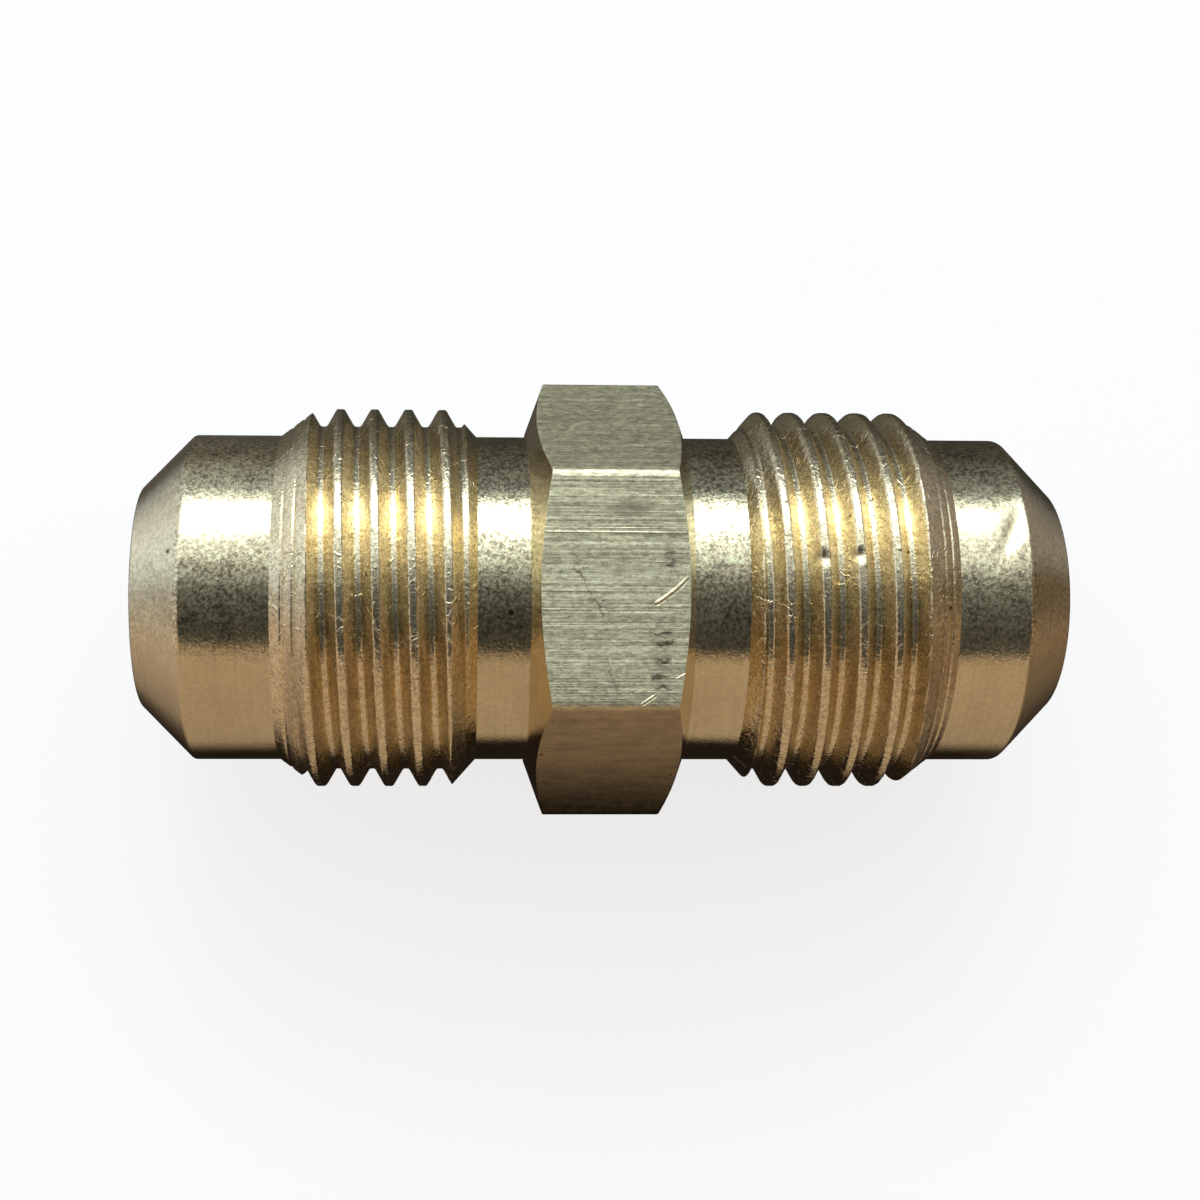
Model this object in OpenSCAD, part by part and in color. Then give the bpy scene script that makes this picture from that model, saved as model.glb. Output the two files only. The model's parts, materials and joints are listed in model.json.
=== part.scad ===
// Straight flare union: a brass coupling that joins two flared tubes of the same size.
// It is turned and drilled from one length of hexagonal bar. From the middle outwards, each side
// has a short neck, a male thread for the flare nut, a plain pilot, and a cone that the flared
// tube end is clamped against. Each module below is one of those sections, and neighbouring
// sections meet face to face.
// The axis lies along X, one hex flat faces up, and the origin is on the axis at mid-length.

/* [Body] */
// Length over the two end faces
overall_length = 37.9; // [36:0.1:44]
// Diameter of the waterway, drilled right through
bore_diameter = 7.14; // [4:0.02:8.4]
// Diameter of the necks beside the hex and of the plain pilots beyond the threads
pilot_diameter = 13.6; // [12.6:0.1:14]

/* [Hex] */
// Width of the hex across two opposite flats
hex_across_flats = 15.875; // [15:0.125:16.5]
// Length of the hex along the axis
hex_length = 6.45; // [5:0.05:9]
// How far the middle of the hex is from mid-length, towards the right-hand end
hex_offset = 0.2; // [-0.3:0.05:0.3]
// Diameter of the round face that the corner chamfers leave on each end of the hex
hex_face_diameter = 14; // [13.8:0.1:15.6]
// Angle between a corner chamfer and the end face of the hex
hex_chamfer_angle = 20; // [15:1:35]

/* [Threads] */
// Diameter over the thread crests
thread_diameter = 15.875; // [15:0.025:16]
// Threads to the inch
threads_per_inch = 18; // [16:1:24]
// Where the left thread begins, beside its neck, measured from mid-length
left_thread_start = 5.1; // [5:0.1:7]
// Where the left thread ends, beside its pilot, measured from mid-length
left_thread_end = 13.2; // [11:0.1:14]
// Where the right thread begins, beside its neck, measured from mid-length
right_thread_start = 5.6; // [5:0.1:7]
// Where the right thread ends, beside its pilot, measured from mid-length
right_thread_end = 13.9; // [11:0.1:14.6]
// Angle that the left thread is turned through about the axis
left_thread_turn = 127; // [0:1:359]
// Angle that the right thread is turned through about the axis
right_thread_turn = 251; // [0:1:359]
// Slope of the chamfers at both ends of a thread, measured from the axis
thread_chamfer_angle = 45; // [30:1:60]

/* [Flare seats] */
// Angle between the conical seat and the axis
seat_angle = 45; // [37:1:45]
// Diameter of the flat ring at each end of the fitting
seat_face_diameter = 9.2; // [9:0.1:11]
// Width of the edge break at each mouth of the waterway
mouth_chamfer = 0.15; // [0.05:0.05:0.25]

/* [Hidden] */
$fn = 96;
inch = 25.4;
half_length = overall_length / 2;
bore_r = bore_diameter / 2;
pilot_r = pilot_diameter / 2;
seat_face_r = seat_face_diameter / 2;
seat_length = (pilot_r - seat_face_r) / tan(seat_angle);
thread_r = thread_diameter / 2;
pitch = inch / threads_per_inch;

// Hexagon seen along the axis, and the height of each corner chamfer.
hex_corner_r = hex_across_flats / (2 * cos(30));
hex_face_r = hex_face_diameter / 2;
hex_chamfer_length = (hex_corner_r - hex_face_r) * tan(hex_chamfer_angle);
hex_left = hex_offset - hex_length / 2;
hex_right = hex_offset + hex_length / 2;

// External 60 degree thread: the crest flat is an eighth of the pitch, and the depth is
// 17/24 of the height of the sharp triangle, which leaves a root flat of a sixth.
thread_depth = 17 / 24 * cos(30) * pitch;
crest_half = 1 / 16;
root_half = 1 / 12;
flank_middle = (crest_half + 0.5 - root_half) / 2;
// Corners of one thread profile: place along the axis in pitches, and depth below the crest.
PROFILE = [
    [-crest_half, 0],
    [crest_half, 0],
    [flank_middle, thread_depth / 2],
    [0.5 - root_half, thread_depth],
    [0.5 + root_half, thread_depth],
    [1 - flank_middle, thread_depth / 2],
];
ROWS = len(PROFILE);
STEPS = 48;
// A point of the thread that comes this close to an end face is moved onto its rim.
end_snap = 0.04;

// Outer limit of a thread between two places on the axis: the full diameter, less the chamfers.
function thread_limit(x, from, to) =
    min(thread_r, pilot_r + min(x - from, to - x) * tan(thread_chamfer_angle));

// Point on a circle about the axis, a number of steps round from +Y towards +Z.
function round_point(x, r, step) =
    let (angle = 360 * step / STEPS) [x, r * cos(angle), r * sin(angle)];

// Place of a thread point on the axis. Each row is a helix, and a step is one part of a turn.
function row_x(row, step, first_crest) =
    first_crest + pitch * (floor(row / ROWS) + PROFILE[row % ROWS][0] + step / STEPS);

// Number of a thread point in the list: the two end rims come first, then the rows. After one
// turn, each row carries on as the row that lies one whole profile further along.
function point_number(row, step, first_crest, from, to) =
    step == STEPS ? point_number(row + ROWS, 0, first_crest, from, to)
    : row_x(row, step, first_crest) < from + end_snap ? step
    : row_x(row, step, first_crest) > to - end_snap ? STEPS + step
    : (row + 2) * STEPS + step;

// Solid right-hand screw thread between two places on the axis.
module screw_thread(from, to, turn) {
    phase = turn / 360;
    first_crest = pitch * (floor(from / pitch - phase - 1) + phase);
    last_row = ceil((to - first_crest) / pitch) * ROWS + 1;
    steps = [0 : STEPS - 1];
    rims = [for (x = [from, to], step = steps) round_point(x, pilot_r, step)];
    rows = [
        for (row = [0 : last_row], step = steps)
            let (
                x = row_x(row, step, first_crest),
                r = min(thread_r - PROFILE[row % ROWS][1], thread_limit(x, from, to))
            )
            round_point(x, r, step)
    ];
    flanks = [
        for (row = [0 : last_row - 1], step = steps)
            let (
                a = point_number(row, step, first_crest, from, to),
                b = point_number(row + 1, step, first_crest, from, to),
                c = point_number(row + 1, step + 1, first_crest, from, to),
                d = point_number(row, step + 1, first_crest, from, to)
            )
            each [[a, b, c], [a, c, d]]
    ];
    whole_flanks = [for (f = flanks) if (f[0] != f[1] && f[1] != f[2] && f[2] != f[0]) f];
    start_face = [for (step = steps) step];
    end_face = [for (step = steps) 2 * STEPS - 1 - step];
    polyhedron(
        concat(rims, rows),
        concat(whole_flanks, [start_face, end_face]),
        convexity = 10
    );
}

// Solid turned about the axis. Each profile point is a radius and a place along the axis.
module turned(profile)
    rotate([0, 90, 0])
        rotate_extrude()
            polygon(profile);

// The waterway, longer than the fitting so that it cuts cleanly through every section.
module waterway()
    rotate([0, 90, 0])
        cylinder(h = overall_length + 2, r = bore_r, center = true);

// Plain ring between two places on the axis.
module plain_ring(from, to)
    turned([[bore_r, from], [pilot_r, from], [pilot_r, to], [bore_r, to]]);

// Threaded length with the waterway through it.
module threaded_ring(from, to, turn)
    difference() {
        screw_thread(from, to, turn);
        waterway();
    }

// Plain pilot and conical seat of the right-hand end, with the mouth of the waterway.
module nose(from)
    turned([
        [bore_r, from],
        [pilot_r, from],
        [pilot_r, half_length - seat_length],
        [seat_face_r, half_length],
        [bore_r + mouth_chamfer, half_length],
        [bore_r, half_length - mouth_chamfer],
    ]);

module hex_section()
    color("darkkhaki")
    difference() {
        intersection() {
            translate([hex_left, 0, 0])
                rotate([90, 0, 90])
                    linear_extrude(hex_length)
                        circle(r = hex_corner_r, $fn = 6);
            turned([
                [0, hex_left],
                [hex_face_r, hex_left],
                [hex_corner_r, hex_left + hex_chamfer_length],
                [hex_corner_r, hex_right - hex_chamfer_length],
                [hex_face_r, hex_right],
                [0, hex_right],
            ]);
        }
        waterway();
    }

module left_neck()
    color("goldenrod")
    plain_ring(-left_thread_start, hex_left);

module right_neck()
    color("goldenrod")
    plain_ring(hex_right, right_thread_start);

module left_thread()
    color("peru")
    threaded_ring(-left_thread_end, -left_thread_start, left_thread_turn);

module right_thread()
    color("peru")
    threaded_ring(right_thread_start, right_thread_end, right_thread_turn);

module left_nose()
    color("burlywood")
    mirror([1, 0, 0])
        nose(left_thread_end);

module right_nose()
    color("burlywood")
    nose(right_thread_end);

hex_section();
left_neck();
right_neck();
left_thread();
right_thread();
left_nose();
right_nose();
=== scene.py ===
"""Looks of a straight brass flare union: fine meshes, brass materials, studio and camera.

Lengths are in metres. The fitting's axis lies along X, a flat of its hex faces +Z, and an angle
round the axis, called turn below, runs from +Y towards +Z.
"""
import json
import math

import bmesh
import bpy
import numpy as np
from mathutils import Matrix, Vector


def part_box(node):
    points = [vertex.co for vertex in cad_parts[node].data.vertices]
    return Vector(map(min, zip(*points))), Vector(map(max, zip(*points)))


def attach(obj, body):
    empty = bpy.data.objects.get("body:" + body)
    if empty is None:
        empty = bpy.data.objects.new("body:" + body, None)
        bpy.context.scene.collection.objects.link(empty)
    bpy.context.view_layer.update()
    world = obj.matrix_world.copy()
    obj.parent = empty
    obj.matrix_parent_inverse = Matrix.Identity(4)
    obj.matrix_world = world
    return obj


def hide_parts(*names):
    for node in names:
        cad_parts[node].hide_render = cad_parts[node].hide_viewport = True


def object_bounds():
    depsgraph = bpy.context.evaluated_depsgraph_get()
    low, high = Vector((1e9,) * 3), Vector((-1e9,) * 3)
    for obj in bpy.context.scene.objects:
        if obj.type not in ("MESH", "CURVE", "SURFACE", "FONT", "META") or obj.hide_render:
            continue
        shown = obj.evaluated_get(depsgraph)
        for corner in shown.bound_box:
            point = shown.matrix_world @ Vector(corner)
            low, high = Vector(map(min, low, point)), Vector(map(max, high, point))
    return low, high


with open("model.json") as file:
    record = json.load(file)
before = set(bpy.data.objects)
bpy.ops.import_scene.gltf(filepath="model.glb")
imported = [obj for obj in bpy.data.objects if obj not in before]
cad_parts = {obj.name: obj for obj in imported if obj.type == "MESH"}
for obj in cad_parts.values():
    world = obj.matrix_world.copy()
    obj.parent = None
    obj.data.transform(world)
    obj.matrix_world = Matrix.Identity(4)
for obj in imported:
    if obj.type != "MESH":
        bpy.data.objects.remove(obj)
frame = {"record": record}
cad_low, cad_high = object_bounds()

MM = 0.001
INCH = 25.4 * MM


# ---------------------------------------------------------------- sizes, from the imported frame

def node_span(node):
    """Where a section begins and ends along the axis."""
    low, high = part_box(node)
    return low.x, high.x


def mount(name):
    return next(m for m in frame["record"]["mounts"] if m["name"] == name)


HEX_LEFT, HEX_RIGHT = node_span("hex_section")
CORNER_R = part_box("hex_section")[1].y
FLAT_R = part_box("hex_section")[1].z
NECK_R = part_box("left_neck")[1].y
PILOT_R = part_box("left_nose")[1].y
THREAD_R = mount("left_nut_thread")["dims"]["r_mm"] * MM
BORE_R = mount("bore")["dims"]["r_mm"] * MM
BORE_END = mount("bore")["dims"]["length_mm"] * MM / 2
SEAT_LENGTH = mount("left_flare_seat")["dims"]["length_mm"] * MM
SEAT_SLOPE = math.tan(math.radians(45))
PITCH = INCH / 18
HEX_FACE_R = 7.0 * MM          # round face that the corner chamfers leave on the ends of the hex
HEX_CHAMFER = math.radians(20)  # between a corner chamfer and the end face of the hex
INNER_CHAMFER = math.radians(48)  # of a thread, beside the neck
OUTER_CHAMFER = math.radians(37)  # of a thread, beside the pilot
CREST_TRIM = 0.02 * MM         # how far the worn crests stand below the full thread size
SHOULDER_ROUND = 0.25 * MM     # radius where a pilot turns into its seat
SEAT_ROUND = 0.3 * MM          # radius where a seat turns into the end face

centre = (cad_low + cad_high) / 2
length = cad_high.x - cad_low.x


# ---------------------------------------------------------------- camera

CAMERA_DISTANCE = 82.9 * MM     # from the axis, along the view
CAMERA_TILT = math.radians(2.65)  # round the fitting's axis, off the square view of a hex flat
CAMERA_YAW = math.radians(-2.44)  # the right-hand end lies a little further away
CAMERA_ROLL = math.radians(0.225)
CAMERA_ASIDE = 2.86 * MM        # how far left of the middle the camera stands
CAMERA_BELOW = 0.06 * MM
CAMERA_LENS = 58.6              # focal length, in millimetres as Blender has it
CAMERA_SENSOR = 36
CAMERA_SHIFT = 0.06             # of the picture, as a part of its width


def make_camera():
    data = bpy.data.cameras.new("camera")
    data.lens = CAMERA_LENS
    data.sensor_width = CAMERA_SENSOR
    data.shift_x = CAMERA_SHIFT
    data.clip_start = 5 * MM
    data.clip_end = 10
    camera = bpy.data.objects.new("camera", data)
    turned = (
        Matrix.Rotation(CAMERA_TILT, 4, "X")
        @ Matrix.Rotation(CAMERA_YAW, 4, "Y")
        @ Matrix.Rotation(CAMERA_ROLL, 4, "Z")
    )
    away = turned @ Vector((-CAMERA_ASIDE, -CAMERA_BELOW, CAMERA_DISTANCE))
    camera.matrix_world = Matrix.Translation(centre + away) @ turned
    bpy.context.scene.collection.objects.link(camera)
    bpy.context.scene.camera = camera


make_camera()


# ---------------------------------------------------------------- mesh helpers

STEPS = 384  # points round a turn
HEX_ROWS = 90  # rows of points along the flats, and below, the gaps between rows elsewhere
NECK_GAP = 0.08 * MM
THREAD_GAP = 0.042 * MM
NOSE_GAP = 0.07 * MM


def turns(steps=STEPS):
    return np.arange(steps) * (2 * math.pi / steps)


def soft_min(a, b, width):
    """The smaller of two heights, with the crease between them rounded over width."""
    blend = np.maximum(width - np.abs(a - b), 0) / width
    return np.minimum(a, b) - blend * blend * width / 4


def soft_max(a, b, width):
    """The larger of two heights, likewise."""
    return -soft_min(-a, -b, width)


def lattice_noise(x, turn, cell_x, cells_round, seed):
    """Smooth noise from -1 to 1 over the place along the axis and the turn, closed round a turn."""
    rng = np.random.default_rng(seed)
    rows = int(np.ceil((x.max() - x.min()) / cell_x)) + 3
    values = rng.uniform(-1, 1, (rows, cells_round))
    u = (x - x.min()) / cell_x
    v = (turn / (2 * math.pi)) % 1 * cells_round
    i, j = np.floor(u).astype(int), np.floor(v).astype(int)
    fu, fv = u - i, v - j
    fu, fv = fu * fu * (3 - 2 * fu), fv * fv * (3 - 2 * fv)
    j, k = j % cells_round, (j + 1) % cells_round
    low = values[i, j] * (1 - fv) + values[i, k] * fv
    high = values[i + 1, j] * (1 - fv) + values[i + 1, k] * fv
    return low * (1 - fu) + high * fu


def dent(x, turn, at_x, at_turn, radius, half_x, half_arc, depth, lean=0.0):
    """Depth of an oval dent at a place on a surface of the given radius."""
    along = x - at_x
    around = ((turn - at_turn + math.pi) % (2 * math.pi) - math.pi) * radius
    u = (along * math.cos(lean) + around * math.sin(lean)) / half_x
    v = (around * math.cos(lean) - along * math.sin(lean)) / half_arc
    return depth * np.exp(-(u * u + v * v))


def ring_object(name, x, r, materials, face_material=None):
    """Closed ring about the X axis. x and r have a row for each point of the loop round the
    ring's wall, and a column for each step of the turn. Faces on the waterway are bored brass."""
    rows, steps = r.shape
    turn = turns(steps)
    points = np.stack([x, r * np.cos(turn), r * np.sin(turn)], axis=-1).reshape(-1, 3)
    i = np.arange(rows)[:, None]
    j = np.arange(steps)[None, :]
    i2, j2 = (i + 1) % rows, (j + 1) % steps
    faces = np.stack(
        [i * steps + j, i * steps + j2, i2 * steps + j2, i2 * steps + j], axis=-1
    ).reshape(-1, 4)
    mesh = bpy.data.meshes.new(name)
    mesh.from_pydata(points.tolist(), [], faces.tolist())
    for material in [*materials, BORED]:
        mesh.materials.append(material)
    kinds = np.zeros(rows, np.int32) if face_material is None else np.array(face_material, np.int32)
    highest = r.max(axis=1)
    in_bore = np.maximum(highest, np.roll(highest, -1)) < BORE_R * 1.005
    kinds[in_bore] = len(materials)
    mesh.polygons.foreach_set("material_index", np.repeat(kinds, steps))
    mesh.polygons.foreach_set("use_smooth", np.ones(len(faces), bool))
    mesh.set_sharp_from_angle(angle=math.radians(40))
    mesh.update()
    piece = bpy.data.objects.new(name, mesh)
    bpy.context.scene.collection.objects.link(piece)
    return piece


def between(a, b, gap):
    """Evenly spaced places from a to b, about gap apart, with both ends."""
    return np.linspace(a, b, max(2, int(math.ceil(abs(b - a) / gap)) + 1))


def close_ring(outer_x, outer_r):
    """Adds the end faces and the wall of the waterway to an outer surface."""
    columns = outer_r.shape[1]
    start, end = outer_x[0].mean(), outer_x[-1].mean()
    wall = [(end, BORE_R), ((start + end) / 2, BORE_R), (start, BORE_R)]
    wall_x = np.array([[p[0]] * columns for p in wall])
    wall_r = np.array([[p[1]] * columns for p in wall])
    return np.vstack([outer_x, wall_x]), np.vstack([outer_r, wall_r])


def finish_piece(piece, node):
    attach(piece, "root")
    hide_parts(node)


# ---------------------------------------------------------------- material helpers

class Tree:
    """Shorthand for building one node tree."""

    def __init__(self, tree):
        self.tree = tree
        tree.nodes.clear()

    def node(self, kind, inputs=None, **settings):
        """A new node. inputs feeds its sockets, and settings are its other options."""
        made = self.tree.nodes.new(kind)
        for key, value in settings.items():
            setattr(made, key, value)
        for key, value in (inputs or {}).items():
            self.feed(made.inputs[key], value)
        return made

    def feed(self, socket, value):
        """Links a socket to another one, or sets it to a plain value."""
        if isinstance(value, bpy.types.NodeSocket):
            self.tree.links.new(value, socket)
        else:
            socket.default_value = value

    def show(self, shader, output="ShaderNodeOutputMaterial"):
        """Makes a shader the tree's result."""
        self.feed(self.node(output).inputs["Surface"], shader.outputs[0])

    def math(self, operation, a, b=0.0):
        return self.node("ShaderNodeMath", {0: a, 1: b}, operation=operation).outputs[0]

    def scaled(self, vector, scale):
        """The vector, with each axis scaled on its own."""
        made = self.node("ShaderNodeMapping", {"Vector": vector, "Scale": scale})
        return made.outputs[0]

    def noise(self, vector, scale, detail=2.0, roughness=0.5, distortion=0.0):
        made = self.node(
            "ShaderNodeTexNoise",
            {"Vector": vector, "Scale": scale, "Detail": detail,
             "Roughness": roughness, "Distortion": distortion},
        )
        return made.outputs[0]

    def strayed(self, vector, scale, reach):
        """The vector, moved aside by noise: up to about half of reach in each direction."""
        made = self.node("ShaderNodeTexNoise", {"Vector": vector, "Scale": scale, "Detail": 1.0})
        level = self.node(
            "ShaderNodeVectorMath", {0: made.outputs["Color"], 1: (0.5, 0.5, 0.5)},
            operation="SUBTRACT",
        )
        sized = self.node(
            "ShaderNodeVectorMath", {0: level.outputs[0], "Scale": reach}, operation="SCALE"
        )
        moved = self.node(
            "ShaderNodeVectorMath", {0: vector, 1: sized.outputs[0]}, operation="ADD"
        )
        return moved.outputs[0]

    def axes(self, vector):
        """X, Y and Z of a vector."""
        return self.node("ShaderNodeSeparateXYZ", {0: vector}).outputs

    def weighted(self, *parts):
        """Sum of values, each given with its weight."""
        total = None
        for value, weight in parts:
            share = self.math("MULTIPLY", value, weight)
            total = share if total is None else self.math("ADD", total, share)
        return total

    def off(self, value, middle, reach):
        """How far a value is from a middle, as a multiple of reach."""
        return self.math("DIVIDE", self.math("SUBTRACT", value, middle), reach)

    def bell(self, u, v=None):
        """1 where u and v are 0, falling smoothly to 0 all round."""
        square = self.math("MULTIPLY", u, u)
        if v is not None:
            square = self.math("ADD", square, self.math("MULTIPLY", v, v))
        return self.math("EXPONENT", self.math("MULTIPLY", square, -1.0))

    def ramp(self, factor, stops):
        """Colours blended from stop to stop. A stop is its place from 0 to 1, and its colour."""
        made = self.node("ShaderNodeValToRGB", {0: factor})
        elements = made.color_ramp.elements
        while len(elements) < len(stops):
            elements.new(1.0)
        for element, (place, colour) in zip(elements, stops):
            element.position = place
            element.color = (*colour, 1.0)
        return made.outputs[0]

    def span(self, value, low, high, to_low=0.0, to_high=1.0):
        """to_low where the value is at low, to_high where it is at high, and even between them."""
        made = self.node(
            "ShaderNodeMapRange",
            {"Value": value, "From Min": low, "From Max": high,
             "To Min": to_low, "To Max": to_high},
        )
        return made.outputs[0]

    def mix(self, factor, a, b, blend="MIX"):
        """Colour a where the factor is 0, blended with b as the factor grows to 1."""
        made = self.node("ShaderNodeMix", data_type="RGBA", blend_type=blend)
        self.feed(made.inputs[0], factor)
        self.feed(made.inputs[6], a)
        self.feed(made.inputs[7], b)
        return made.outputs[2]


def new_material(name):
    """A material, and its node tree, empty and ready to fill."""
    material = bpy.data.materials.new(name)
    material.use_nodes = True
    return material, Tree(material.node_tree)


def marks(t, place, strokes, wobble):
    """Height of a set of scratches on the hex flat that faces up. A stroke is its two ends,
    half its width, its depth (raised when negative), and how far it bends aside. wobble is how
    widely the strokes stray from their lines."""
    axes = t.axes(t.strayed(place, 2600.0, wobble))
    total = 0.0
    for (x1, y1), (x2, y2), half_width, depth, bend in strokes:
        reach = math.hypot(x2 - x1, y2 - y1) * MM
        cos, sin = (x2 - x1) * MM / reach, (y2 - y1) * MM / reach
        dx = t.math("SUBTRACT", axes[0], x1 * MM)
        dy = t.math("SUBTRACT", axes[1], y1 * MM)
        along = t.math("ADD", t.math("MULTIPLY", dx, cos), t.math("MULTIPLY", dy, sin))
        aside = t.math("SUBTRACT", t.math("MULTIPLY", dy, cos), t.math("MULTIPLY", dx, sin))
        share = t.math("DIVIDE", along, reach)
        bow = t.math("MULTIPLY", t.math("MULTIPLY", share, t.math("SUBTRACT", 1.0, share)),
                     4 * bend * MM)
        off = t.math("DIVIDE", t.math("ABSOLUTE", t.math("SUBTRACT", aside, bow)),
                     half_width * MM)
        groove = t.span(off, 1.0, 0.0)
        ends = t.math("MULTIPLY", t.span(share, 0.0, 0.12), t.span(share, 1.0, 0.7))
        cut = t.math("MULTIPLY", t.math("MULTIPLY", groove, ends), -depth * MM)
        total = t.math("ADD", total, cut)
    return t.math("MULTIPLY", total, upper_flat(t, place))


def brass(name, tint_of, height_of, rough_of, anisotropy, across):
    """Bare brass. tint_of, height_of and rough_of are functions that build the colour, height and
    roughness of the surface. across turns the spread of its gloss, as a part of a full turn."""
    material, t = new_material(name)
    place = t.node("ShaderNodeTexCoord").outputs["Object"]
    bump = t.node("ShaderNodeBump",
                  {"Strength": 1.0, "Distance": 1.0, "Height": height_of(t, place)})
    tangent = t.node("ShaderNodeTangent", direction_type="RADIAL", axis="X")
    surface = t.node(
        "ShaderNodeBsdfPrincipled",
        {"Base Color": tint_of(t, place), "Metallic": 1.0, "Roughness": rough_of(t, place),
         "Anisotropic": anisotropy, "Anisotropic Rotation": across,
         "Normal": bump.outputs[0], "Tangent": tangent.outputs[0]},
    )
    t.show(surface)
    return material


# Two tints of brass for each way it was worked, and the dark spots on it.
TURNED_TINTS = (0.80, 0.68, 0.43, 1.0), (0.73, 0.61, 0.38, 1.0)
THREAD_TINTS = (0.86, 0.715, 0.46, 1.0), (0.79, 0.645, 0.395, 1.0)
BORE_TINTS = (0.66, 0.50, 0.27, 1.0), (0.50, 0.36, 0.19, 1.0)
DRAWN_TINTS = (0.88, 0.80, 0.52, 1.0), (0.81, 0.735, 0.475, 1.0)
# Tint of the hex flats on the near side: partly the brass's own browner tone, partly painted shade.
NEAR_FLAT_TINT_AND_SHADE = (0.48, 0.37, 0.22, 1.0)
TURNED_SPOT = (0.15, 0.08, 0.04, 1.0)
THREAD_SPOT = (0.16, 0.09, 0.04, 1.0)
DRAWN_SPOT = (0.16, 0.10, 0.06, 1.0)
NEAR_FLAT_SPOT = (0.12, 0.07, 0.04, 1.0)
SMUDGE = (0.20, 0.19, 0.13, 1.0)


def cloudy(t, place, scale, tints, detail=3.0, roughness=0.5):
    """Two tints in soft clouds."""
    cloud = t.noise(place, scale, detail=detail, roughness=roughness)
    return t.mix(t.span(cloud, 0.35, 0.65), *tints)


def patchy(t, place, low, high):
    """Roughness that changes in small patches between two values."""
    return t.span(t.noise(place, 2600.0, detail=4.0, roughness=0.7), 0.3, 0.7, low, high)


def upper_flat(t, place):
    """1 on the hex flat that faces up, 0 elsewhere."""
    axes = t.axes(place)
    return t.math("GREATER_THAN", axes[2], FLAT_R - 0.1 * MM)


def shaded(t, tint, share):
    """The tint made darker or lighter by a value."""
    grey = t.node("ShaderNodeCombineColor", {0: share, 1: share, 2: share}).outputs[0]
    return t.mix(1.0, tint, grey, "MULTIPLY")


def specks(t, place, scale, size, low, high):
    """Small round spots: 0 inside a spot, 1 outside. low and high limit where they occur."""
    spots = t.node("ShaderNodeTexVoronoi", {"Vector": place, "Scale": scale}, feature="F1")
    near = t.span(spots.outputs["Distance"], size * 0.6, size)
    return t.math("MAXIMUM", near, t.span(t.noise(place, scale * 0.4, detail=1.0), high, low))


def bumps(t, place, scale, low, high):
    """Separate small bumps on an otherwise level surface, from 0 to 1."""
    return t.span(t.noise(t.scaled(place, scale), 1.0, detail=2.0, roughness=0.6), low, high)


def from_axis(t, place):
    """Distance from the fitting's axis."""
    axes = t.axes(place)
    square = t.math("ADD", t.math("MULTIPLY", axes[1], axes[1]),
                    t.math("MULTIPLY", axes[2], axes[2]))
    return t.math("SQRT", square)


def tarnish(t, place):
    """Grey speckle on the plain cylinders. It covers the top, the underside and the far side,
    fades out on the near side, and is faint on the chamfers and seats and along a wiped strip of
    the pilots."""
    axes = t.axes(place)
    off_cylinder = t.math("ABSOLUTE", t.math("SUBTRACT", from_axis(t, place), PILOT_R))
    cover = t.math("MULTIPLY", t.span(axes[1], -3.0 * MM, -1.2 * MM, 0.06, 1.0),
                   t.span(off_cylinder, 0.15 * MM, 0.25 * MM, 1.0, 0.4))
    strip = t.bell(t.off(axes[1], 2.7 * MM, 1.1 * MM))
    on_pilot = t.span(t.math("ABSOLUTE", axes[0]), 12.0 * MM, 13.0 * MM, 0.0, 0.55)
    cover = t.math("MULTIPLY", cover, t.math("SUBTRACT", 1.0, t.math("MULTIPLY", strip, on_pilot)))
    curls = t.noise(place, 6500.0, detail=2.0, roughness=0.65, distortion=0.6)
    clouds = t.noise(place, 1300.0, detail=2.0, roughness=0.6)
    speckle = t.span(curls, 0.38, 0.62, -0.50, 0.42)
    speckle = t.math("ADD", speckle, t.span(clouds, 0.38, 0.62, -0.16, 0.14))
    return t.math("ADD", 1.0, t.math("MULTIPLY", speckle, cover))


def turned_brass():
    """Bright turned surface: fine rings from the tool, a faint mottle, and a few dark spots."""

    def tint(t, place):
        rings = t.noise(t.scaled(place, (7000.0, 250.0, 250.0)), 1.0, detail=4.0)
        mottle = t.noise(place, 6500.0, detail=4.0, roughness=0.75)
        colour = cloudy(t, place, 420.0, TURNED_TINTS)
        colour = shaded(t, colour, t.span(rings, 0.3, 0.7, 0.95, 1.03))
        colour = shaded(t, colour, t.span(mottle, 0.30, 0.62, 0.92, 1.04))
        colour = shaded(t, colour, tarnish(t, place))
        return t.mix(specks(t, place, 520.0, 0.07, 0.55, 0.6), TURNED_SPOT, colour)

    def height(t, place):
        rings = t.noise(t.scaled(place, (9000.0, 300.0, 300.0)), 1.0, detail=3.0)
        wave = t.noise(place, 1500.0, detail=2.0)
        grain = t.noise(place, 11000.0, detail=2.0, roughness=0.6)
        comb = bumps(t, place, (12000.0, 2200.0, 2200.0), 0.54, 0.72)
        return t.weighted((rings, 2e-6), (wave, 5e-6), (grain, 6e-6), (comb, 3e-6))

    def rough(t, place):
        return patchy(t, place, 0.08, 0.18)

    return brass("turned_brass", tint, height, rough, 0.6, 0.25)


def on_flanks(t, place):
    """1 on the flanks of a thread, 0 on its crests and roots."""
    depth = t.math("SUBTRACT", THREAD_R, from_axis(t, place))
    return t.math("MULTIPLY", t.span(depth, 0.06 * MM, 0.12 * MM),
                  t.span(depth, 0.71 * MM, 0.63 * MM))


def hairs(t, place):
    """Thin curled hairs of torn metal left by the threading die: 1 on a hair, 0 elsewhere."""
    wander = t.noise(place, 1500.0, detail=1.0, distortion=1.0)
    line = t.span(t.math("ABSOLUTE", t.math("SUBTRACT", wander, 0.5)), 0.05, 0.02)
    return t.math("MULTIPLY", line, t.span(t.noise(place, 1100.0, detail=2.0), 0.54, 0.60))


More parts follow.
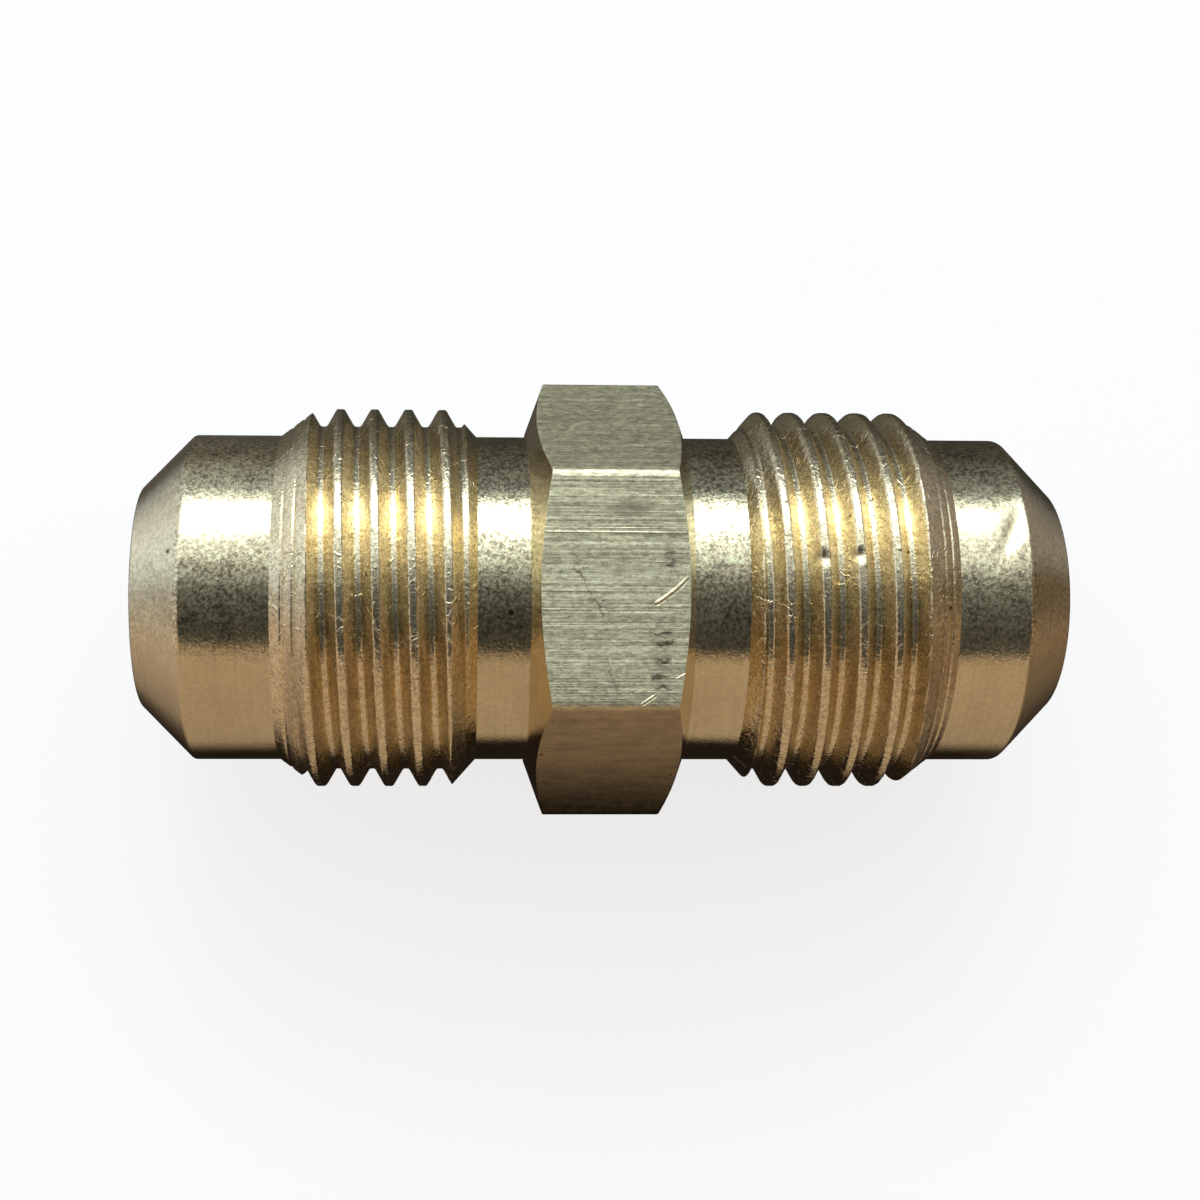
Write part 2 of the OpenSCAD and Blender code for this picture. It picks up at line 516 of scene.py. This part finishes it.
def threaded_brass():
    """Cut thread: golden, with torn grain, bright and dark specks, and painted shade darkening the
    flanks on the near side.
    """

    def tint(t, place):
        mottle = t.noise(place, 5200.0, detail=4.0, roughness=0.8)
        colour = cloudy(t, place, 700.0, THREAD_TINTS)
        colour = shaded(t, colour, t.span(mottle, 0.30, 0.62, 0.80, 1.06))
        curls = t.noise(place, 6000.0, detail=2.0, roughness=0.65, distortion=1.5)
        colour = shaded(t, colour, t.span(curls, 0.40, 0.60, 0.76, 1.22))
        # Painted shade: the flanks on the near side are darker, the rest a little lighter.
        side = t.axes(place)[1]
        shaded_flanks = t.math("MULTIPLY", on_flanks(t, place), t.span(side, -1.0 * MM, -3.0 * MM))
        colour = shaded(t, colour, t.span(shaded_flanks, 0.0, 1.0, 1.06, 0.80))
        return t.mix(specks(t, place, 800.0, 0.08, 0.50, 0.54), THREAD_SPOT, colour)

    def height(t, place):
        rings = t.noise(t.scaled(place, (7000.0, 400.0, 400.0)), 1.0, detail=3.0)
        grain = t.noise(place, 9000.0, detail=2.0, roughness=0.7)
        pits = bumps(t, place, (7000.0, 7000.0, 7000.0), 0.54, 0.68)
        tears = bumps(t, place, (5200.0, 1800.0, 1800.0), 0.58, 0.7)
        return t.weighted(
            (rings, 3e-6), (grain, 6e-6), (pits, 5e-6), (tears, 9e-6), (hairs(t, place), 14e-6)
        )

    def rough(t, place):
        torn = t.math("MULTIPLY", on_flanks(t, place), 0.12)
        return t.math("ADD", patchy(t, place, 0.08, 0.18), torn)

    return brass("threaded_brass", tint, height, rough, 0.3, 0.25)


def bored_brass():
    """Drilled wall of the waterway: duller, with rings left by the drill."""

    def tint(t, place):
        rings = t.noise(t.scaled(place, (5000.0, 200.0, 200.0)), 1.0, detail=4.0, roughness=0.7)
        colour = cloudy(t, place, 600.0, BORE_TINTS, detail=4.0, roughness=0.7)
        return shaded(t, colour, t.span(rings, 0.3, 0.7, 0.75, 1.1))

    def height(t, place):
        rings = t.noise(t.scaled(place, (5000.0, 200.0, 200.0)), 1.0, detail=3.0)
        grain = t.noise(place, 6000.0, detail=3.0, roughness=0.7)
        return t.weighted((rings, 16e-6), (grain, 8e-6))

    def rough(t, place):
        return patchy(t, place, 0.34, 0.5)

    return brass("bored_brass", tint, height, rough, 0.3, 0.25)


# Marks on the hex flat that faces up, in millimetres from the fitting's middle.
SCRATCHES = [
    # Raised bright nicks near the right-hand edge, the two longer ones beside their grooves.
    ((1.64, -0.58), (3.00, 0.52), 0.075, -0.04, -0.07),
    ((1.70, -0.66), (3.02, 0.40), 0.035, 0.03, -0.07),
    ((1.12, -4.45), (1.75, -4.02), 0.05, -0.03, 0.0),
    ((1.18, -4.50), (1.80, -4.08), 0.03, 0.025, 0.0),
    ((2.50, -3.46), (2.90, -3.22), 0.045, -0.025, 0.0),
    # One long raised line and its fainter neighbour.
    ((-4.0, 2.19), (4.0, 2.17), 0.05, -0.012, 0.0),
    ((-4.0, 2.36), (4.0, 2.35), 0.03, -0.007, 0.0),
]

# Fine dark scratches, whose depth counts as darkness, from 0 to 1.
DARK_LINES = [
    ((-1.62, 1.02), (-0.72, -0.42), 0.035, 0.75, 0.05),
    ((-0.76, -0.36), (-0.16, -1.20), 0.035, 0.75, 0.10),
    ((-0.16, -2.62), (-0.04, -3.50), 0.035, 0.65, 0.03),
    # A row of short marks left by a gripping tool.
    ((1.60, -1.73), (2.45, -1.71), 0.10, 0.80, 0.0),
    ((1.66, -2.14), (2.60, -2.12), 0.11, 0.85, 0.02),
    ((1.68, -2.83), (2.30, -2.83), 0.11, 0.75, 0.0),
    ((1.54, -3.38), (2.32, -3.36), 0.10, 0.75, 0.02),
    ((1.68, -3.80), (2.42, -3.82), 0.09, 0.70, 0.0),
    ((2.06, 0.97), (2.62, 0.99), 0.11, 0.70, 0.0),
    ((2.08, 1.38), (2.55, 1.38), 0.09, 0.70, 0.0),
    ((2.15, 2.07), (2.58, 2.10), 0.12, 0.55, 0.0),
]
DARK_WOBBLE = 0.45 * MM


def smudges(t, place, dash):
    """Dull marks on the flat that faces up: below 1 inside a mark, 1 outside. The noise in dash
    breaks the chatter marks up."""
    axes = t.axes(place)

    def patch(x, y, half_x, half_y):
        return t.bell(t.off(axes[0], x * MM, half_x * MM), t.off(axes[1], y * MM, half_y * MM))

    stain = t.math("MULTIPLY", t.span(patch(0.75, 3.1, 0.8, 0.38), 0.3, 0.6), 0.42)
    chatter = t.math("MAXIMUM", patch(2.25, 1.3, 0.30, 1.0), patch(1.95, -2.7, 0.38, 1.6))
    chatter = t.math("MULTIPLY", t.span(chatter, 0.2, 0.7), t.span(dash, 0.56, 0.44, 0.0, 0.42))
    dark = t.math("MULTIPLY", t.math("MAXIMUM", stain, chatter), upper_flat(t, place))
    return t.math("SUBTRACT", 1.0, dark)


def near_flats(t, place):
    """1 on the hex flats of the near side, 0 elsewhere. These flats are smoother, and browner
    partly from their own tone and partly from painted shade.
    """
    axes = t.axes(place)
    return t.span(axes[1], -CORNER_R / 2 + 0.1 * MM, -CORNER_R / 2 - 0.1 * MM)


def brown_and_shaded_flat(t, place):
    """Brown tint of the flats on the near side, partly their own tone and partly painted shade,
    with more painted shade darkening them towards the corner at mid height.
    """
    axes = t.axes(place)
    height = t.math("ABSOLUTE", axes[2])
    cloud = t.noise(place, 900.0, detail=3.0, roughness=0.6)
    edge = t.math("ADD", height, t.math("MULTIPLY", t.math("SUBTRACT", cloud, 0.5), 1.6 * MM))
    # Painted shade: darker towards the corner at mid height, with a noisy edge.
    painted_shade = t.span(edge, 0.3 * MM, 4.2 * MM, 0.30, 1.0)
    blotch = t.noise(t.scaled(place, (900.0, 2200.0, 2200.0)), 1.0, detail=4.0, roughness=0.7)
    colour = shaded(t, NEAR_FLAT_TINT_AND_SHADE, painted_shade)
    colour = shaded(t, colour, t.span(blotch, 0.35, 0.65, 0.84, 1.14))
    return t.mix(specks(t, place, 1300.0, 0.13, 0.45, 0.49), NEAR_FLAT_SPOT, colour)


def drawn_brass():
    """Cold-drawn bar: long fine lines along the axis, with scratches on the upper flat."""

    def tint(t, place):
        bent = t.strayed(place, 300.0, 0.07 * MM)
        fine = t.noise(t.scaled(bent, (240.0, 9500.0, 9500.0)), 1.0, detail=3.0, roughness=0.7)
        broad = t.noise(t.scaled(bent, (90.0, 2600.0, 2600.0)), 1.0, detail=2.0)
        short = t.noise(t.scaled(bent, (3800.0, 9000.0, 9000.0)), 1.0, detail=3.0, roughness=0.75)
        dash = t.noise(t.scaled(place, (900.0, 5500.0, 5500.0)), 1.0, detail=3.0, roughness=0.7)
        colour = cloudy(t, place, 500.0, DRAWN_TINTS)
        # The near-side flats take the brown tint, which is partly painted shade.
        colour = t.mix(near_flats(t, place), colour, brown_and_shaded_flat(t, place))
        grain = t.span(fine, 0.32, 0.62, 0.74, 1.10)
        grain = t.math("MULTIPLY", grain, t.span(broad, 0.35, 0.65, 0.88, 1.08))
        grain = t.math("MULTIPLY", grain, t.span(short, 0.32, 0.62, 0.56, 1.26))
        # The flats of the near side are worn smoother than the others.
        plain = t.math("SUBTRACT", 1.0, near_flats(t, place))
        grain = t.math("ADD", 1.0, t.math("MULTIPLY", t.math("SUBTRACT", grain, 1.0),
                                          t.span(plain, 0.0, 1.0, 0.12, 1.0)))
        colour = shaded(t, colour, grain)
        colour = t.mix(smudges(t, place, dash), SMUDGE, colour)
        lines = t.math("ADD", 1.0, t.math("DIVIDE", marks(t, place, DARK_LINES, DARK_WOBBLE), MM))
        colour = shaded(t, colour, lines)
        return t.mix(specks(t, place, 1100.0, 0.07, 0.56, 0.6), DRAWN_SPOT, colour)

    def height(t, place):
        fine = t.noise(t.scaled(place, (60.0, 9000.0, 9000.0)), 1.0, detail=3.0, roughness=0.6)
        broad = t.noise(t.scaled(place, (80.0, 2400.0, 2400.0)), 1.0, detail=2.0)
        grain = t.noise(place, 8000.0, detail=3.0, roughness=0.7)
        total = t.weighted((fine, 18e-6), (broad, 18e-6), (grain, 14e-6))
        total = t.math("MULTIPLY", total, t.span(near_flats(t, place), 0.0, 1.0, 1.0, 0.12))
        return t.math("ADD", total, marks(t, place, SCRATCHES, 0.0))

    def rough(t, place):
        glossier = t.math("MULTIPLY", near_flats(t, place), 0.20)
        return t.math("SUBTRACT", patchy(t, place, 0.34, 0.46), glossier)

    return brass("drawn_brass", tint, height, rough, 0.5, 0.0)


TURNED = turned_brass()
THREADED = threaded_brass()
DRAWN = drawn_brass()
BORED = bored_brass()


# ---------------------------------------------------------------- pieces

def hex_piece():
    """Middle of the hexagonal bar: six drawn flats, with corners turned off at both ends."""
    chamfer = math.tan(HEX_CHAMFER)
    corner_round = 0.16 * MM
    edge_round = 0.05 * MM
    turn = turns()
    sixth = math.pi / 3
    off_flat = (turn % sixth) - sixth / 2
    flat = FLAT_R / np.cos(off_flat)
    beside = FLAT_R / np.cos(sixth - np.abs(off_flat))
    hexagon = soft_min(flat, beside, corner_round)
    depth = (hexagon - HEX_FACE_R) * chamfer
    chamfer_rows = np.concatenate([np.linspace(0, 0.86, 11), np.linspace(0.9, 1, 5)])
    left_x = HEX_LEFT + chamfer_rows[:, None] * depth
    right_x = HEX_RIGHT - chamfer_rows[::-1, None] * depth
    middle = np.linspace(0, 1, HEX_ROWS)[1:-1, None]
    flat_x = left_x[-1] + (right_x[0] - left_x[-1]) * middle
    x = np.vstack([left_x, flat_x, right_x])
    limit = HEX_FACE_R + np.minimum(x - HEX_LEFT, HEX_RIGHT - x) / chamfer
    r = soft_min(hexagon, limit, edge_round)
    outer_rows = len(x)
    x, r = close_ring(x, r)
    kinds = np.ones(len(x), int)
    kinds[len(left_x) - 1: outer_rows - len(right_x)] = 0
    return ring_object("hex_body", x, r, [DRAWN, TURNED], kinds)


def neck_piece(name, node):
    start, end = node_span(node)
    rows = between(start, end, NECK_GAP)[:, None]
    x = np.repeat(rows, STEPS, axis=1)
    r = np.full_like(x, NECK_R)
    x, r = close_ring(x, r)
    return ring_object(name, x, r, [TURNED])


# Where the crests stand: carried on to the fitting's middle, one would be at minus this turn.
LEFT_CREST = math.radians(127)
RIGHT_CREST = math.radians(251)
# Fine rings in the outer chamfers: distance from the thread's outer end, and depth.
LEFT_LINES = [(0.50 * MM, 0.06 * MM), (0.98 * MM, 0.06 * MM)]
RIGHT_LINES = [(0.40 * MM, 0.06 * MM), (0.78 * MM, 0.045 * MM)]
LINE_HALF = 0.06 * MM
# Nicks in the right thread's crests: place along the axis, and turn.
RIGHT_NICKS = [(8.25 * MM, math.radians(81)), (9.66 * MM, math.radians(80))]
NICK_HALF = 0.2 * MM
NICK_DEPTH = 0.14 * MM
# Dent in the right pilot: place along the axis, turn, radius there, half length, half width,
# depth, and the slant of its length from the axis.
RIGHT_PILOT_DENT = (
    16.15 * MM, math.radians(68), PILOT_R, 1.2 * MM, 0.34 * MM, 0.16 * MM, math.radians(-64)
)


def thread_piece(name, node, side, crest_turn, seed, lines, nicks=()):
    """Male thread with rounded roots and a chamfer at each end. The groove gets shallow at the
    outer end, which is the right-hand one when side is 1 and the left-hand one when it is -1.
    lines are fine rings cut into the outer chamfer: distance from the outer end, and depth."""
    start, end = node_span(node)
    crest_half = 0.11              # in pitches, as is every distance from a crest
    edge_width = 0.05
    chips_out = 0.07
    depth = 0.515 * PITCH
    run_out = 0.85 * PITCH
    crest_round, root_round, chamfer_round = 0.09 * MM, 0.10 * MM, 0.06 * MM
    rows = between(start, end, THREAD_GAP)[:, None]
    x = np.repeat(rows, STEPS, axis=1)
    turn = np.broadcast_to(turns(), x.shape)
    place = x / PITCH - (crest_turn + turn) / (2 * math.pi)
    off_crest = np.abs(place - np.round(place))
    flank = (off_crest - crest_half) * PITCH * math.sqrt(3)
    cut = soft_min(soft_max(flank, 0.0, crest_round), depth, root_round)
    from_outer_end = end - x if side > 0 else x - start
    cut *= np.clip((from_outer_end / run_out - 0.3) / 0.7, 0, 1)
    on_edge = np.exp(-((off_crest - crest_half) / edge_width) ** 2)
    burr = lattice_noise(x, turn, 0.11 * MM, 420, seed) * 0.012 * MM
    torn = lattice_noise(x, turn, 0.5 * MM, 90, seed + 1) * 0.010 * MM
    beside_edge = np.exp(-((off_crest - crest_half - chips_out) / edge_width) ** 2)
    chips = np.clip(lattice_noise(x, turn, 0.13 * MM, 330, seed + 2) - 0.8, 0, 1) * 0.45 * MM
    r = THREAD_R - CREST_TRIM - cut + on_edge * (burr + torn) + beside_edge * chips
    for at_x, at_turn in nicks:
        r -= dent(x, turn, at_x, at_turn, THREAD_R, NICK_HALF, NICK_HALF, NICK_DEPTH)
    from_inner_end = x - start if side > 0 else end - x
    limit = PILOT_R + np.minimum(
        from_inner_end * math.tan(INNER_CHAMFER), from_outer_end * math.tan(OUTER_CHAMFER)
    )
    for line, line_depth in lines:
        limit = limit - line_depth * np.exp(-((from_outer_end - line) / LINE_HALF) ** 2)
    r = soft_min(r, limit, chamfer_round)
    r[0], r[-1] = PILOT_R, PILOT_R
    x, r = close_ring(x, r)
    return ring_object(name, x, r, [THREADED])


def nose_piece(name, node, side, dents=()):
    """Plain pilot and 45 degree seat. side is 1 at the right-hand end and -1 at the left."""
    start, end = node_span(node)
    inner, tip = (start, end) if side > 0 else (-end, -start)
    face_r = PILOT_R - SEAT_LENGTH * SEAT_SLOPE
    shoulder = tip - SEAT_LENGTH
    outer = rounded_profile(
        [(inner, PILOT_R), (shoulder, PILOT_R), (tip, face_r), (tip, BORE_R + tip - BORE_END)],
        [0, SHOULDER_ROUND, SEAT_ROUND, 0],
        NOSE_GAP,
    )
    outer += [(BORE_END, BORE_R), ((BORE_END + inner) / 2, BORE_R), (inner, BORE_R)]
    profile = np.array(outer)
    x = np.repeat(profile[:, :1], STEPS, axis=1)
    r = np.repeat(profile[:, 1:], STEPS, axis=1)
    turn = np.broadcast_to(turns(), x.shape)
    for mark in dents:
        on_outside = (r > face_r * 0.98).astype(float)
        r = r - on_outside * dent(x, turn, *mark)
    if side < 0:
        x, r = -x[::-1], r[::-1]
    return ring_object(name, x, r, [TURNED])


def rounded_profile(corners, radii, gap):
    """Points along a line through the corners, with each corner rounded to its radius."""
    points = [corners[0]]
    for before, corner, after, radius in zip(corners, corners[1:], corners[2:], radii[1:]):
        p, c, n = (np.array(q, float) for q in (before, corner, after))
        a, b = (p - c) / np.linalg.norm(p - c), (n - c) / np.linalg.norm(n - c)
        half = math.acos(np.clip(a @ b, -1, 1)) / 2
        reach = radius / math.tan(half)
        heart = c + (a + b) / np.linalg.norm(a + b) * radius / math.sin(half)
        first, last = c + a * reach, c + b * reach
        from_angle = math.atan2(*(first - heart)[::-1])
        sweep = (math.atan2(*(last - heart)[::-1]) - from_angle + math.pi) % (2 * math.pi) - math.pi
        points += straight(points[-1], first, gap)
        for share in np.linspace(0, 1, 9)[1:]:
            angle = from_angle + sweep * share
            points.append(tuple(heart + radius * np.array([math.cos(angle), math.sin(angle)])))
    points += straight(points[-1], corners[-1], gap)
    return points


def straight(a, b, gap):
    """Points from a to b, about gap apart, without a."""
    a, b = np.array(a, float), np.array(b, float)
    count = max(1, int(math.ceil(np.linalg.norm(b - a) / gap)))
    return [tuple(a + (b - a) * k / count) for k in range(1, count + 1)]


finish_piece(hex_piece(), "hex_section")
for neck in ("left_neck", "right_neck"):
    finish_piece(neck_piece(neck + "_turned", neck), neck)
finish_piece(
    thread_piece("left_thread_cut", "left_thread", -1, LEFT_CREST, 11, LEFT_LINES),
    "left_thread",
)
finish_piece(
    thread_piece(
        "right_thread_cut", "right_thread", 1, RIGHT_CREST, 23, RIGHT_LINES, RIGHT_NICKS
    ),
    "right_thread",
)
finish_piece(nose_piece("left_nose_turned", "left_nose", -1), "left_nose")
finish_piece(
    nose_piece("right_nose_turned", "right_nose", 1, dents=[RIGHT_PILOT_DENT]),
    "right_nose",
)


# ---------------------------------------------------------------- studio

FLOOR_REACH = 40  # half the floor's side, in lengths of the fitting
DOME_REACH = 39   # radius of the dome, likewise


def level_sheet(name, material, left, right, near, far, z):
    """A level rectangle."""
    mesh = bpy.data.meshes.new(name)
    mesh.from_pydata([(left, near, z), (right, near, z), (right, far, z), (left, far, z)],
                     [], [(0, 1, 2, 3)])
    mesh.materials.append(material)
    sheet = bpy.data.objects.new(name, mesh)
    bpy.context.scene.collection.objects.link(sheet)
    return sheet


def make_floor():
    """White floor that gives off some light of its own. Reflections don't show it."""
    material, t = new_material("floor")
    surface = t.node(
        "ShaderNodeBsdfPrincipled",
        {"Base Color": (0.27, 0.27, 0.27, 1.0), "Roughness": 0.9,
         "Emission Color": (1.0, 1.0, 1.0, 1.0), "Emission Strength": 0.78},
    )
    t.show(surface)
    half = FLOOR_REACH * length
    floor = level_sheet("floor", material, -half, half, -half, half, cad_low.z)
    floor.visible_glossy = False


def make_backdrop():
    """Pale dome behind everything, just inside the floor's edge. Only the camera sees it: light
    and reflections come from the world beyond."""
    material, t = new_material("backdrop")
    pale = t.node("ShaderNodeEmission", {"Color": (0.90, 0.90, 0.90, 1.0)})
    t.show(pale)
    mesh = bpy.data.meshes.new("backdrop")
    shell = bmesh.new()
    bmesh.ops.create_uvsphere(shell, u_segments=48, v_segments=24, radius=DOME_REACH * length)
    shell.to_mesh(mesh)
    shell.free()
    mesh.materials.append(material)
    backdrop = bpy.data.objects.new("backdrop", mesh)
    backdrop.visible_diffuse = False
    backdrop.visible_glossy = False
    backdrop.visible_transmission = False
    backdrop.visible_shadow = False
    bpy.context.scene.collection.objects.link(backdrop)


# Brightness of the studio round the fitting's axis: degrees from overhead, towards the far side.
# A long window lights the far side, the camera's side is dark, and a warm wall is on the near side.
STUDIO_ROUND = [
    (-180, (0.10, 0.08, 0.06)),
    (-160, (0.14, 0.11, 0.08)),
    (-130, (0.34, 0.26, 0.20)),
    (-112, (0.42, 0.33, 0.25)),
    (-60, (0.46, 0.36, 0.275)),
    (-37, (0.48, 0.37, 0.28)),
    (-34, (0.078, 0.078, 0.076)),
    (-12, (0.092, 0.095, 0.097)),
    (4, (0.19, 0.21, 0.225)),
    (18, (0.54, 0.60, 0.66)),
    (30, (1.05, 1.2, 1.32)),
    (42, (1.3, 1.5, 1.7)),
    (60, (1.45, 1.65, 1.85)),
    (72, (1.0, 1.18, 1.36)),
    (82, (0.56, 0.65, 0.74)),
    (100, (0.32, 0.34, 0.36)),
    (118, (0.158, 0.158, 0.158)),
    (150, (0.11, 0.11, 0.095)),
    (180, (0.08, 0.065, 0.05)),
]
# Brightness beyond the two ends of the fitting, from the near side to the far side.
STUDIO_LEFT = [
    (-0.5, (0.50, 0.39, 0.32)),
    (-0.25, (0.52, 0.44, 0.39)),
    (0.0, (0.46, 0.47, 0.51)),
    (0.16, (0.70, 0.82, 0.97)),
    (0.28, (0.93, 1.08, 1.30)),
    (0.4, (0.90, 1.00, 1.15)),
]
STUDIO_RIGHT = [
    (-0.36, (0.24, 0.17, 0.12)),
    (-0.2, (0.30, 0.215, 0.15)),
    (0.0, (0.15, 0.12, 0.09)),
    (0.12, (0.16, 0.13, 0.10)),
    (0.22, (0.28, 0.27, 0.26)),
    (0.36, (0.31, 0.29, 0.30)),
]
# The world's places along the axis are on the unit sphere. The two ends take over from the ring
# between the places of each pair.
LEFT_BEGINS = -0.5, -0.9
RIGHT_BEGINS = 0.55, 0.85
# Brightest patch of the window: its angle from overhead, and its place along the axis.
SUN_ANGLE = math.radians(55)
SUN_SPREAD = math.radians(9)
SUN_AT = -0.05
SUN_WIDTH = 0.26
SUN_STRENGTH = 7.0
# Near the fitting's middle the dark gap by the camera and the window's foot are dimmed further.
# An arc is where this begins, is full, begins to end and has ended, in degrees from overhead.
MIDDLE_AT = 0.06
MIDDLE_WIDTH = 0.14
GAP_ARC = -46, -44, -4, 34
GAP_DIM = 0.45
FOOT_ARC = 60, 72, 92, 104
FOOT_DIM = 0.35
# Towards the right the edge of the warm wall on the near side stands lower.
WALL_DROP = math.radians(7.5)
WALL_DROPS = -0.14, 0.12
WALL_DROP_ANGLES = 0.0, math.radians(-20)
# The window reaches further down at the left than at the right.
LOW_WINDOW = 0.5     # brightness left in the low part of the window at the right
LOW_WINDOW_DIMS = -0.14, 0.02
LOW_WINDOW_ANGLES = math.radians(66), math.radians(76)


def within_arc(t, angle, arc):
    """1 in the full part of an arc, fading to 0 at both ends."""
    start, full, fading, end = (math.radians(degrees) for degrees in arc)
    return t.math("MULTIPLY", t.span(angle, start, full), t.span(angle, end, fading))


def make_world():
    world = bpy.data.worlds.new("studio")
    world.use_nodes = True
    bpy.context.scene.world = world
    t = Tree(world.node_tree)
    direction = t.node("ShaderNodeTexCoord").outputs["Generated"]
    axes = t.axes(direction)
    angle = t.math("ARCTAN2", axes[1], axes[2])
    share = t.math("ADD", t.math("DIVIDE", angle, 2 * math.pi), 0.5)
    lower = t.math("MULTIPLY", t.span(axes[0], *WALL_DROPS, 0.0, WALL_DROP),
                   t.span(angle, *WALL_DROP_ANGLES))
    share = t.math("ADD", share, t.math("DIVIDE", lower, 2 * math.pi))
    colour = t.ramp(share, [((a + 180) / 360, shade) for a, shade in STUDIO_ROUND])
    low_part = t.math("MULTIPLY", t.span(angle, *LOW_WINDOW_ANGLES),
                      t.span(axes[0], *LOW_WINDOW_DIMS))
    colour = shaded(t, colour, t.span(low_part, 0.0, 1.0, 1.0, LOW_WINDOW))
    middle = t.bell(t.off(axes[0], MIDDLE_AT, MIDDLE_WIDTH))
    dim = t.weighted((within_arc(t, angle, GAP_ARC), GAP_DIM),
                     (within_arc(t, angle, FOOT_ARC), FOOT_DIM))
    colour = shaded(t, colour, t.math("SUBTRACT", 1.0, t.math("MULTIPLY", middle, dim)))
    across = t.math("ADD", t.math("MULTIPLY", axes[1], 0.5), 0.5)
    left = t.ramp(across, [((y + 1) / 2, shade) for y, shade in STUDIO_LEFT])
    right = t.ramp(across, [((y + 1) / 2, shade) for y, shade in STUDIO_RIGHT])
    colour = t.mix(t.span(axes[0], *LEFT_BEGINS), colour, left)
    colour = t.mix(t.span(axes[0], *RIGHT_BEGINS), colour, right)
    patch = t.bell(t.off(angle, SUN_ANGLE, SUN_SPREAD), t.off(axes[0], SUN_AT, SUN_WIDTH))
    sun = t.node("ShaderNodeBackground", {"Color": (0.92, 1.0, 1.05, 1.0),
                                          "Strength": t.math("MULTIPLY", patch, SUN_STRENGTH)})
    walls = t.node("ShaderNodeBackground", {"Color": colour, "Strength": 1.0})
    light = t.node("ShaderNodeAddShader", {0: walls.outputs[0], 1: sun.outputs[0]})
    t.show(light, "ShaderNodeOutputWorld")


CARD_LIFT = 0.05 * MM        # over the floor
CARD_HALF_LENGTH = 50 * MM
CARD_NEAR = -32 * MM         # edges of the card, on the near side and the far side
CARD_FAR = 6 * MM
CARD_DARK = 0.99             # how much the card covers where it is darkest
# Fades of the card: across the axis from clear to darkest, and along it near the two ends.
CARD_NEAR_FADE = -29.5 * MM, -22 * MM
CARD_LEFT_FADE = -29 * MM, -20 * MM
CARD_RIGHT_FADE = 18 * MM, 36 * MM
CARD_LEFT_REST = 0.12        # part of its cover that is left past the left fade
CARD_RIGHT_REST = 0.3
# Over this stretch out from the middle, the near fade moves in towards the axis.
CARD_NARROWS = 7 * MM, 15 * MM
CARD_INWARD = 8 * MM


def make_painted_shadow_card():
    """Painted shadow: a dark card just over the floor on the near side, seen only in reflections.
    It stands in for the floor's shade close under the fitting, and fades out away from it."""
    material, t = new_material("painted_shadow_card")
    place = t.node("ShaderNodeTexCoord").outputs["Object"]
    axes = t.axes(place)
    beside = t.math("ABSOLUTE", axes[0])
    inward = t.span(beside, *CARD_NARROWS, 0.0, CARD_INWARD)
    away = t.span(t.math("SUBTRACT", axes[1], inward), *CARD_NEAR_FADE, 0.0, CARD_DARK)
    ends = t.math("MINIMUM", t.span(axes[0], *CARD_LEFT_FADE, CARD_LEFT_REST, 1.0),
                  t.span(axes[0], *CARD_RIGHT_FADE, 1.0, CARD_RIGHT_REST))
    cover = t.math("MULTIPLY", away, ends)
    # Painted shadow: dark emission where the card covers.
    dark = t.node("ShaderNodeEmission", {"Color": (0.014, 0.010, 0.008, 1.0)})
    clear = t.node("ShaderNodeBsdfTransparent")
    both = t.node("ShaderNodeMixShader", {0: cover, 1: clear.outputs[0], 2: dark.outputs[0]})
    t.show(both)
    card = level_sheet(
        "painted_shadow_card", material,
        -CARD_HALF_LENGTH, CARD_HALF_LENGTH, CARD_NEAR, CARD_FAR, cad_low.z + CARD_LIFT,
    )
    card.visible_camera = False
    card.visible_diffuse = False
    card.visible_shadow = False


make_floor()
make_backdrop()
# Painted shadow under the near side, seen only in reflections.
make_painted_shadow_card()
make_world()
bpy.context.scene.view_settings.view_transform = "Standard"
